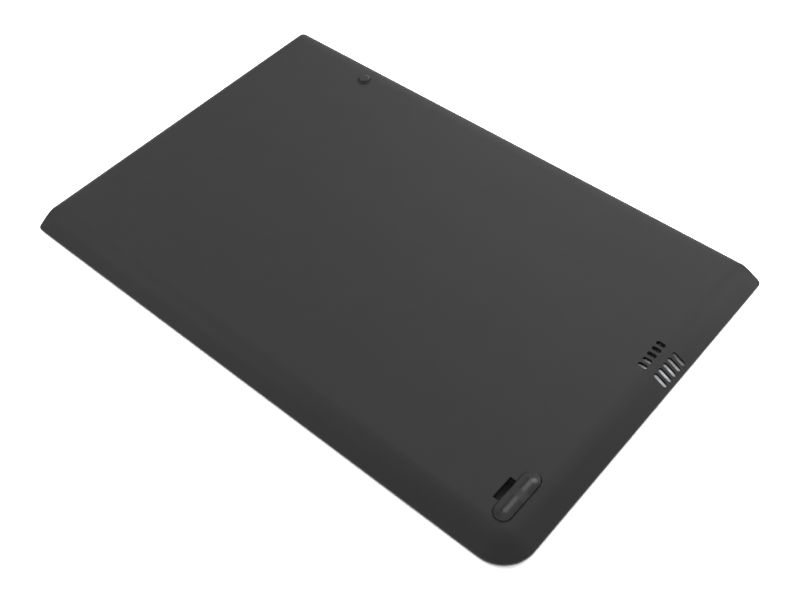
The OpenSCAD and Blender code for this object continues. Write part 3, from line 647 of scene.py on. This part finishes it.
FINISHES: dict[Slot, Finish] = {
    Slot.COVER: PaintedFinish(
        "soft_touch_cover", (0.036, 0.036, 0.0375), 0.52, relief_scale=4200.0,
        relief_depth=0.012 * MM, tone_drift=0.06, gloss_drift=0.05, drift_scale=11.0, dust=0.05,
        wear=0.3, specular=0.42, sheen=0.04,
    ),
    Slot.RUBBER: FootFinish(
        "foot_rubber", (0.017, 0.017, 0.018), 0.22, relief_scale=2400.0, relief_depth=0.012 * MM,
        gloss_drift=0.05, drift_scale=160.0, dust=0.06, wear=0.1, specular=0.55,
        side_dust_and_light=(0.17, 0.17, 0.168),
    ),
    Slot.BUMPER: RubberFinish(
        "bumper_rubber", (0.014, 0.014, 0.015), 0.3, relief_scale=2600.0, drift_scale=200.0,
        dust=0.06, wear=0.2, specular=0.48, side_dust_and_light=(0.15, 0.15, 0.148),
    ),
    Slot.ADHESIVE: Finish("foot_tape", (0.012, 0.012, 0.012), 0.8, relief_scale=1800.0, dust=0.2),
    Slot.FRAME: FrameFinish(
        "frame_plastic", (0.026, 0.026, 0.027), 0.55, relief_scale=3200.0, relief_depth=0.03 * MM,
        tone_drift=0.15, wear=0.5, wear_gain=2.4, specular=0.45,
    ),
    Slot.SHEET: Finish(
        "sheet_film", (0.016, 0.016, 0.017), 0.42, Relief.CREASED, relief_scale=36.0,
        relief_depth=0.12 * MM, wear=0.2,
    ),
    Slot.POUCH: Finish(
        "pouch_foil", (0.6, 0.61, 0.63), 0.36, Relief.CREASED, relief_scale=85.0,
        relief_depth=0.16 * MM, metallic=0.9, tone_drift=0.08, wear=0.15, dust=0.02,
    ),
    Slot.TAPE: Finish(
        "white_tape", (0.74, 0.73, 0.69), 0.6, relief_scale=1500.0, wear=0.0, dust=0.03,
    ),
    Slot.FOAM: Finish(
        "foam", (0.045, 0.045, 0.048), 0.95, Relief.CELLS, relief_scale=1500.0,
        relief_depth=0.25 * MM, wear=0.0, dust=0.05, sheen=0.15,
    ),
    Slot.NICKEL: Finish(
        "nickel", (0.6, 0.58, 0.54), 0.3, Relief.BRUSHED, relief_scale=9000.0,
        relief_depth=0.006 * MM, metallic=1.0, tone_drift=0.12, wear=0.3, wear_gain=1.3, dust=0.02,
    ),
    Slot.BOARD: Finish(
        "board_mask", (0.02, 0.085, 0.045), 0.35, relief_scale=900.0, coat=0.3, wear=0.3,
        wear_gain=3.0,
    ),
    Slot.CHIP: Finish(
        "chip_epoxy", (0.014, 0.014, 0.015), 0.5, relief_scale=9000.0, relief_depth=0.01 * MM,
        wear=0.3, wear_gain=2.5,
    ),
    Slot.FUSE: Finish(
        "fuse_ceramic", (0.55, 0.46, 0.32), 0.35, relief_scale=3000.0, coat=0.2, wear=0.0,
    ),
    Slot.CERAMIC: Finish("chip_ceramic", (0.4, 0.31, 0.2), 0.4, relief_scale=6000.0, wear=0.2),
    Slot.HOUSING: Finish(
        "housing_nylon", (0.014, 0.014, 0.015), 0.45, relief_scale=3600.0, wear=0.5, wear_gain=2.4,
    ),
    Slot.CONTACT: Finish(
        "contact_gold", (0.83, 0.56, 0.2), 0.24, Relief.BRUSHED, relief_scale=12000.0,
        relief_depth=0.004 * MM, metallic=1.0, wear=0.2, wear_gain=1.2, dust=0.0,
    ),
    Slot.FILM: Finish(
        "amber_film", (0.36, 0.15, 0.02), 0.22, Relief.CREASED, relief_scale=60.0,
        relief_depth=0.08 * MM, coat=0.4, wear=0.0,
    ),
}


SOLDER = Finish(
    "solder", (0.6, 0.61, 0.63), 0.26, relief_scale=2200.0, relief_depth=0.03 * MM, metallic=1.0,
    wear=0.0, dust=0.02,
)


class Palette:
    """Every material, made once from its finish."""

    def __init__(self) -> None:
        """Builds the shared effects and then each material."""
        effects = Effects()
        self.materials = {slot: finish.build(effects) for slot, finish in FINISHES.items()}
        self.solder = SOLDER.build(effects)

    def dress(self, parts: dict[str, Slot]) -> None:
        """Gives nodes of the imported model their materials.

        Args:
            parts: each node's name, and the record's slot for it.
        """
        for node, slot in parts.items():
            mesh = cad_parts[node].data
            mesh.materials.clear()
            mesh.materials.append(self.materials[slot])
            log.info("%s is dressed in %s", node, slot.value)

    def place(
        self, name: str, shape: Shape, slot: Slot, material: bpy.types.Material | None = None
    ) -> bpy.types.Object:
        """Makes a piece of the scene from a shape, finishes it and sets it on the pack.

        Args:
            name: the piece's name.
            shape: its faces, which are freed.
            slot: the record's slot that its finish comes from.
            material: its material, or that slot's own.

        Returns:
            The piece.
        """
        mesh = bpy.data.meshes.new(name)
        bmesh.ops.recalc_face_normals(shape, faces=shape.faces)
        for face in shape.faces:
            face.smooth = True
        shape.to_mesh(mesh)
        shape.free()
        mesh.materials.append(material or self.materials[slot])
        piece = show(name, mesh)
        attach(piece, ROOT)
        log.info("%s is built in %s", name, slot.value)
        return piece


def skin(shape: Shape, rings: list[list[bmesh.types.BMVert]]) -> None:
    """Adds the side of a piece and the face that it stands on.

    Args:
        shape: what they are added to.
        rings: the piece's outlines from below, each with as many points.
    """
    for under, over in zip(rings, rings[1:]):
        for i in range(len(under)):
            shape.faces.new((under[i - 1], under[i], over[i], over[i - 1]))
    shape.faces.new(reversed(rings[0]))


@dataclass(frozen=True)
class DieCut:
    """A flat piece that a die cuts from foam or film and that lies squeezed between two faces."""

    # Radius of its corners in plan, and how far its sides pull in between them
    corner: float
    waist: float
    # How far its edge is rounded by the squeeze
    edge: float
    corner_steps: int = 8
    side_steps: int = 20
    rise_steps: int = 8

    def add(self, shape: Shape, low: Vector, high: Vector) -> None:
        """Adds the piece to a shape.

        Args:
            shape: what it is added to.
            low: the lowest corner of the space that it fills.
            high: the highest corner of that space.
        """
        rings = []
        for step in range(self.rise_steps + 1):
            turn = math.pi * step / self.rise_steps
            z = low.z + (high.z - low.z) * (1 - math.cos(turn)) / 2
            outline = self._outline(low, high, self.edge * (1 - math.sin(turn)))
            rings.append([shape.verts.new((x, y, z)) for x, y in outline])
        skin(shape, rings)
        shape.faces.new(rings[-1])

    def _outline(self, low: Vector, high: Vector, inset: float) -> list[Spot]:
        """Gives the outline at one height.

        Args:
            low: the lowest corner of the space that the piece fills.
            high: the highest corner of that space.
            inset: how far the outline lies inside the widest one.

        Returns:
            Its points, counterclockwise.
        """
        west, east = low.x + self.corner, high.x - self.corner
        south, north = low.y + self.corner, high.y - self.corner
        corners = ((east, north), (west, north), (west, south), (east, south))
        radius = self.corner - inset
        points = []
        for quarter, (x, y) in enumerate(corners):
            start = quarter * math.pi / 2
            for step in range(self.corner_steps + 1):
                angle = start + step / self.corner_steps * math.pi / 2
                points.append((x + radius * math.cos(angle), y + radius * math.sin(angle)))
            next_x, next_y = corners[(quarter + 1) % 4]
            angle = start + math.pi / 2
            for step in range(1, self.side_steps):
                share = step / self.side_steps
                reach = radius - self.waist * math.sin(math.pi * share) ** 2
                points.append((
                    x + (next_x - x) * share + reach * math.cos(angle),
                    y + (next_y - y) * share + reach * math.sin(angle),
                ))
        return points


@dataclass(frozen=True)
class Puddle:
    """A drop that has set on a flat face: melted solder, or the melted end of a pin."""

    half_x: float
    half_y: float
    rise: float
    around: int = 24
    rings: int = 6
    # How far its foot spreads in a thin skirt before the drop rises
    skirt: float = 0.12

    def add(self, shape: Shape, x: float, y: float, z: float) -> None:
        """Adds the drop to a shape.

        Args:
            shape: what it is added to.
            x: where its middle is along X.
            y: where its middle is along Y.
            z: the height of the face that it lies on.
        """
        levels = []
        turns = [2 * math.pi * i / self.around for i in range(self.around)]
        for ring in range(self.rings):
            share = ring / self.rings
            reach = 1.0 if ring == 0 else (1 - self.skirt) * math.cos(share * math.pi / 2)
            wide, deep = self.half_x * reach, self.half_y * reach
            height = z + self.rise * math.sin(share * math.pi / 2)
            levels.append([
                shape.verts.new((x + wide * math.cos(turn), y + deep * math.sin(turn), height))
                for turn in turns
            ])
        skin(shape, levels)
        top = shape.verts.new((x, y, z + self.rise))
        for i in range(self.around):
            shape.faces.new((levels[-1][i - 1], levels[-1][i], top))


def corners_of(node: str) -> tuple[Vector, Vector]:
    """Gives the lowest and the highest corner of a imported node's box."""
    low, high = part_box(node)
    return Vector(low), Vector(high)


@dataclass(frozen=True)
class Collar:
    """The low collar that stands round a row of the speaker slots on the cover's inner side."""

    # Middle of the slots and half of their length along X, how many of them it goes round, and how
    # far it hangs below the cover's wall
    middle_x: float
    half_length: float
    slots: int
    depth: float
    # Where it ends along Y, the middle of its first slot, and the step from slot to slot
    last_y: float
    first_y: float = 17.2 * MM
    pitch: float = 3.6 * MM
    # Half of a slot's width, the small step out to the collar, and the collar past a slot's end
    half_width: float = 1.05 * MM
    step_out: float = 0.03 * MM
    rim: float = 0.7 * MM
    # How far it sinks into the cover's wall
    sunk: float = 0.02 * MM
    # Steps of a slot's round end, and how near points are that are taken for one
    cap_steps: int = 12
    same: float = 0.001 * MM

    def add(self, shape: Shape, cover: BVHTree) -> None:
        """Adds the collar to a shape.

        Args:
            shape: what it is added to.
            cover: the cover's faces, from which it hangs.
        """
        for k in range(self.slots):
            y = self.first_y + k * self.pitch
            low, high = y - self.pitch / 2, y + self.pitch / 2
            if k == self.slots - 1:
                high = self.last_y
            # Sides from which it goes on round the next slot, so that they have no face
            joins = [low] * (k > 0) + [high] * (k < self.slots - 1)
            ring = [
                [self._hang(shape, cover, at, drop) for drop in (0.0, self.depth) for at in pair]
                for pair in self._outline(y, low, high)
            ]
            for here, there in zip(ring, ring[1:] + ring[:1]):
                slot_a, edge_a, slot_b, edge_b = here
                slot_c, edge_c, slot_d, edge_d = there
                shape.faces.new((slot_a, slot_c, slot_d, slot_b))
                shape.faces.new((slot_b, slot_d, edge_d, edge_b))
                shape.faces.new((slot_a, slot_c, edge_c, edge_a))
                ends = (edge_a.co.y, edge_c.co.y)
                if not any(max(abs(end - join) for end in ends) < self.same for join in joins):
                    shape.faces.new((edge_a, edge_c, edge_d, edge_b))
        bmesh.ops.remove_doubles(shape, verts=shape.verts, dist=self.same)

    def _outline(self, y: float, low: float, high: float) -> list[tuple[Spot, Spot]]:
        """Gives the outline round one slot.

        Args:
            y: the middle of the slot along Y.
            low: where its share of the collar starts along Y.
            high: where it ends.

        Returns:
            Pairs of a point by the slot and the point of the collar's edge beside it.
        """
        radius = self.half_width + self.step_out
        reach = self.half_length - self.half_width
        pairs = []
        for side in (1, -1):
            centre = self.middle_x + side * reach
            end = self.middle_x + side * (self.half_length + self.rim)
            for step in range(self.cap_steps + 1):
                turn = side * (2 * step / self.cap_steps - 1)
                angle = turn * math.pi / 2
                by_slot = (centre + side * radius * math.cos(angle), y + radius * math.sin(angle))
                # The middle half of the turn runs along the end, the rest along the sides
                edge = (end, (low + high) / 2 + turn * (high - low))
                if abs(turn) > 0.5:
                    along = centre + (end - centre) * 2 * (1 - abs(turn))
                    edge = (along, high if turn > 0 else low)
                pairs.append((by_slot, edge))
        return pairs

    def _hang(self, shape: Shape, cover: BVHTree, at: Spot, drop: float) -> bmesh.types.BMVert:
        """Adds a point that hangs below the cover's inner side, or sinks into it if drop is 0."""
        under = cover.ray_cast(Vector((*at, 0.0)), Vector((0.0, 0.0, 1.0)))[0].z
        return shape.verts.new((*at, under - drop if drop else under + self.sunk))


@dataclass
class Cover:
    """The outer plate with its rubber foot and bumper, and the collars behind its slots."""

    palette: Palette
    parts: dict[str, Slot] = field(default_factory=lambda: {
        "outer_cover": Slot.COVER,
        "rubber_foot": Slot.RUBBER,
        "foot_adhesive": Slot.ADHESIVE,
        "rear_bumper": Slot.BUMPER,
    })
    collars: tuple[Collar, ...] = (
        Collar(130.55 * MM, 2.25 * MM, 4, 0.8 * MM, 29.35 * MM),
        Collar(139.7 * MM, 3.2 * MM, 5, 0.4 * MM, 33.4 * MM),
    )

    def build(self) -> None:
        """Dresses the cover and what is set in it, and hangs the collars."""
        self.palette.dress(self.parts)
        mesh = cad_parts["outer_cover"].data
        points = [vertex.co for vertex in mesh.vertices]
        faces = BVHTree.FromPolygons(points, [face.vertices for face in mesh.polygons])
        shape = bmesh.new()
        for collar in self.collars:
            collar.add(shape, faces)
        piece = self.palette.place("slot_collars", shape, Slot.COVER)
        piece.data.shade_flat()


@dataclass
class InnerFrame:
    """The black frame with the sheet that closes its cell bays, and the melted ends of its pins."""

    palette: Palette
    parts: dict[str, Slot] = field(default_factory=lambda: {
        "inner_frame": Slot.FRAME,
        "cell_backing_sheet": Slot.SHEET,
    })
    # Where the pins stand along X and along Y, and the melted end of one
    pins_x: tuple[float, ...] = (-129.1375 * MM, -32.0 * MM, 42.0 * MM, 103.8375 * MM)
    pins_y: float = 73.6 * MM
    pin_end: Puddle = Puddle(1.6 * MM, 1.6 * MM, 0.95 * MM)

    def build(self) -> None:
        """Dresses the frame and melts the pins over the board."""
        self.palette.dress(self.parts)
        board = corners_of("protection_board")[1].z
        shape = bmesh.new()
        for x in self.pins_x:
            self.pin_end.add(shape, x, self.pins_y, board)
        self.palette.place("pin_ends", shape, Slot.FRAME)


@dataclass
class CellPack:
    """The pouch cells, each between its tape and its foam, and the strips that join their tabs."""

    palette: Palette
    cells: int = 4
    foam: DieCut = DieCut(corner=2.2 * MM, waist=0.5 * MM, edge=0.4 * MM)
    foam_fill: float = 0.9
    # Sealing film at the root of a tab: its cut, how far it stands out over the tab's sides and
    # faces, how far it comes out of the terrace, and how far it goes into it
    seal: DieCut = DieCut(
        corner=0.15 * MM, waist=0.0, edge=0.05 * MM, corner_steps=4, side_steps=2, rise_steps=4
    )
    seal_side: float = 1.0 * MM
    seal_over: float = 0.08 * MM
    seal_out: float = 0.4 * MM
    seal_sunk: float = 0.2 * MM
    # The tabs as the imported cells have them, and how far they are from a cell's middle
    tab_width: float = 5.0 * MM
    tab_length: float = 9.0 * MM
    tab_thickness: float = 0.2 * MM
    tab_offset: float = 14.0 * MM

    def build(self) -> None:
        """Builds and dresses each cell's stack, and then the strips."""
        seals = bmesh.new()
        for k in range(1, self.cells + 1):
            self.palette.dress({f"cell_{k}": Slot.POUCH, f"cell_tape_{k}": Slot.TAPE})
            self._pad(k)
            self._seals(seals, k)
        self.palette.place("tab_seals", seals, Slot.TAPE)
        strips = range(1, self.cells + 2)
        self.palette.dress({f"nickel_strip_{k}": Slot.NICKEL for k in strips})

    def _pad(self, k: int) -> None:
        """Puts the foam under a cell, squeezed between it and the sheet.

        Args:
            k: the number of the cell.
        """
        node = f"foam_pad_{k}"
        shape = bmesh.new()
        self.foam.add(shape, *corners_of(node))
        pad = self.palette.place(f"foam_{k}", shape, Slot.FOAM)
        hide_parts(node)

    def _seals(self, shape: Shape, k: int) -> None:
        """Wraps the roots of a cell's two tabs in sealing film.

        Args:
            shape: what the films are added to.
            k: the number of the cell.
        """
        low, high = corners_of(f"cell_{k}")
        middle = (low + high) / 2
        terrace = high.y - self.tab_length
        half_width = self.tab_width / 2 + self.seal_side
        half = Vector((half_width, 0, self.tab_thickness / 2 + self.seal_over))
        for side in (-1, 1):
            x = middle.x + side * self.tab_offset
            self.seal.add(
                shape,
                Vector((x, terrace - self.seal_sunk, middle.z)) - half,
                Vector((x, terrace + self.seal_out, middle.z)) + half,
            )


@dataclass
class Electronics:
    """The protection board with its parts, the connector and the joints that are soldered on it."""

    palette: Palette
    parts: dict[str, Slot] = field(default_factory=lambda: {
        "protection_board": Slot.BOARD,
        "gauge_chip": Slot.CHIP,
        "protector_chip": Slot.CHIP,
        "power_mosfets": Slot.CHIP,
        "pack_fuse": Slot.FUSE,
        "sense_resistor": Slot.CHIP,
        "chip_components": Slot.CERAMIC,
        "connector_housing": Slot.HOUSING,
        "connector_contacts": Slot.CONTACT,
        "temperature_sensor": Slot.CHIP,
        "tab_insulation_tape": Slot.FILM,
    })
    strips: int = 5
    # The solder at a strip, and how far it lies past the end of the strip's foot
    strip_joint: Puddle = Puddle(2.9 * MM, 0.9 * MM, 0.4 * MM)
    strip_joint_out: float = 0.1 * MM
    # The tails of the contacts, the step between them, and the solder at one
    tails: int = 8
    tail_pitch: float = 2.6 * MM
    tail_joint: Puddle = Puddle(0.62 * MM, 0.8 * MM, 0.42 * MM)

    def build(self) -> None:
        """Dresses the parts and solders the strips and the contacts."""
        self.palette.dress(self.parts)
        board = corners_of("protection_board")[1].z
        joints = bmesh.new()
        for k in range(1, self.strips + 1):
            low, high = corners_of(f"nickel_strip_{k}")
            y = high.y + self.strip_joint_out
            self.strip_joint.add(joints, (low.x + high.x) / 2, y, board)
        low, high = corners_of("connector_contacts")
        for k in range(self.tails):
            x = (low.x + high.x) / 2 + (k - (self.tails - 1) / 2) * self.tail_pitch
            self.tail_joint.add(joints, x, low.y, board)
        self.palette.place("solder_joints", joints, Slot.NICKEL, self.palette.solder)


def direction(azimuth: float, elevation: float) -> Vector:
    """Gives the direction to a lamp or the camera.

    Args:
        azimuth: degrees round from the front, counterclockwise from above.
        elevation: degrees above the floor.

    Returns:
        The direction, one metre long.
    """
    turn, rise = math.radians(azimuth), math.radians(elevation)
    flat = math.cos(rise)
    return Vector((math.sin(turn) * flat, -math.cos(turn) * flat, math.sin(rise)))


@dataclass(frozen=True)
class Softbox:
    """One square studio lamp, aimed at the battery."""

    name: str
    # Direction from the battery to the lamp, the lamp's distance and size in metres, and its watts
    azimuth: float
    elevation: float
    distance: float
    size: float
    power: float

    def build(self, target: Vector) -> None:
        """Hangs the lamp.

        Args:
            target: the point that it is aimed at.
        """
        lamp = bpy.data.lights.new(self.name, "AREA")
        lamp.shape = "SQUARE"
        lamp.size = self.size
        lamp.energy = self.power
        holder = show(self.name, lamp)
        away = direction(self.azimuth, self.elevation)
        holder.location = target + away * self.distance
        holder.rotation_euler = away.to_track_quat("Z", "Y").to_euler()


@dataclass
class Studio:
    """The camera, the floor, the surrounding light and the lamps."""

    # Where the camera stands, as seen from the point that it looks at, and its lens
    azimuth: float = 43.649
    elevation: float = 50.422
    roll: float = -3.626
    distance: float = 0.4875
    target: Place = (0.027, -0.02038, 0.0085)
    lens: float = 48.771
    sensor_width: float = 36.0
    clip_start: float = 0.01
    floor_half: float = 6.0
    floor_colour: Colour = (0.86, 0.86, 0.86)
    # What the camera, gloss and glass see of the floor: how far it is lifted towards white, and the
    # least light that its shadows keep
    floor_gain: float = 5.0
    floor_glow: float = 0.02
    # The strength of the light from all around
    dome: float = 0.325
    lamps: tuple[Softbox, ...] = (
        Softbox("rear_softbox", 205.0, 30.0, 1.5, 0.8, 4.0),
        Softbox("top_softbox", 190.0, 64.0, 1.5, 0.5, 1.5),
        Softbox("glint_softbox", 165.0, 52.0, 1.5, 0.2, 0.75),
        Softbox("left_softbox", 250.0, 40.0, 1.5, 0.9, 1.2),
        Softbox("front_softbox", 300.0, 45.0, 0.8, 0.3, 0.65),
        Softbox("tip_softbox", 140.0, 25.0, 0.34, 0.12, 0.105),
    )

    def build(self) -> None:
        """Sets up everything around the battery."""
        bpy.context.scene.view_settings.view_transform = "Standard"
        self._camera()
        self._floor()
        self._dome()
        for lamp in self.lamps:
            lamp.build(Vector(self.target))

    def _camera(self) -> None:
        """Places the camera at the photograph's angle."""
        data = bpy.data.cameras.new("camera")
        data.lens = self.lens
        data.sensor_width = self.sensor_width
        data.clip_start = self.clip_start
        camera = show("camera", data)
        turn = math.radians(self.azimuth)
        back = direction(self.azimuth, self.elevation)
        right = Vector((math.cos(turn), math.sin(turn), 0.0))
        level = Matrix((right, back.cross(right), back)).transposed()
        place = Matrix.Translation(Vector(self.target) + back * self.distance)
        roll = Matrix.Rotation(math.radians(self.roll), 4, "Z")
        camera.matrix_world = place @ level.to_4x4() @ roll
        bpy.context.scene.camera = camera

    def _floor(self) -> None:
        """Lays the floor, which looks white and keeps the shadow."""
        half = self.floor_half
        corners = [(x * half, y * half, 0.0) for x, y in ((-1, -1), (1, -1), (1, 1), (-1, 1))]
        mesh = bpy.data.meshes.new("floor")
        mesh.from_pydata(corners, [], [range(len(corners))])
        floor = show("floor", mesh)
        material = bpy.data.materials.new("floor_paper")
        nodes = emptied(material)
        seen = self._seen(nodes)
        gain = nodes.math("MULTIPLY_ADD", seen, self.floor_gain - 1.0, 1.0)
        lifted = {0: self.floor_colour, "Scale": gain}
        colour = nodes.add("ShaderNodeVectorMath", lifted, operation="SCALE").outputs[0]
        paper = nodes.add("ShaderNodeBsdfDiffuse", {"Color": colour})
        strength = nodes.math("MULTIPLY", seen, self.floor_glow)
        glow = nodes.add("ShaderNodeEmission", {"Strength": strength})
        both = nodes.add("ShaderNodeAddShader", {0: paper.outputs[0], 1: glow.outputs[0]})
        nodes.add("ShaderNodeOutputMaterial", {"Surface": both.outputs[0]})
        mesh.materials.append(material)

    @staticmethod
    def _seen(nodes: Tree) -> Socket:
        """Tells what the camera sees from other light.

        Args:
            nodes: the tree that asks.

        Returns:
            1 for what the camera sees, also in gloss or through glass, and 0 for the rest.
        """
        path = nodes.add("ShaderNodeLightPath").outputs
        mirrored = nodes.math("MAXIMUM", path["Is Glossy Ray"], path["Is Transmission Ray"])
        return nodes.math("MAXIMUM", path["Is Camera Ray"], mirrored)

    def _dome(self) -> None:
        """Makes the even light around the battery, which the camera sees as white."""
        world = bpy.data.worlds.new("studio")
        bpy.context.scene.world = world
        nodes = emptied(world)
        camera_ray = nodes.add("ShaderNodeLightPath").outputs["Is Camera Ray"]
        strength = nodes.math("MULTIPLY_ADD", camera_ray, 1.0 - self.dome, self.dome)
        white = {"Color": (1.0, 1.0, 1.0), "Strength": strength}
        shade = nodes.add("ShaderNodeBackground", white)
        nodes.add("ShaderNodeOutputWorld", {"Surface": shade.outputs[0]})


def main() -> None:
    """Builds the studio and dresses the battery."""
    logging.basicConfig(level=logging.INFO, format="%(name)s: %(message)s")
    Studio().build()
    palette = Palette()
    for assembly in (Cover(palette), InnerFrame(palette), CellPack(palette), Electronics(palette)):
        assembly.build()
        log.info("%s is done", type(assembly).__name__)


if __name__ == "__main__":
    main()
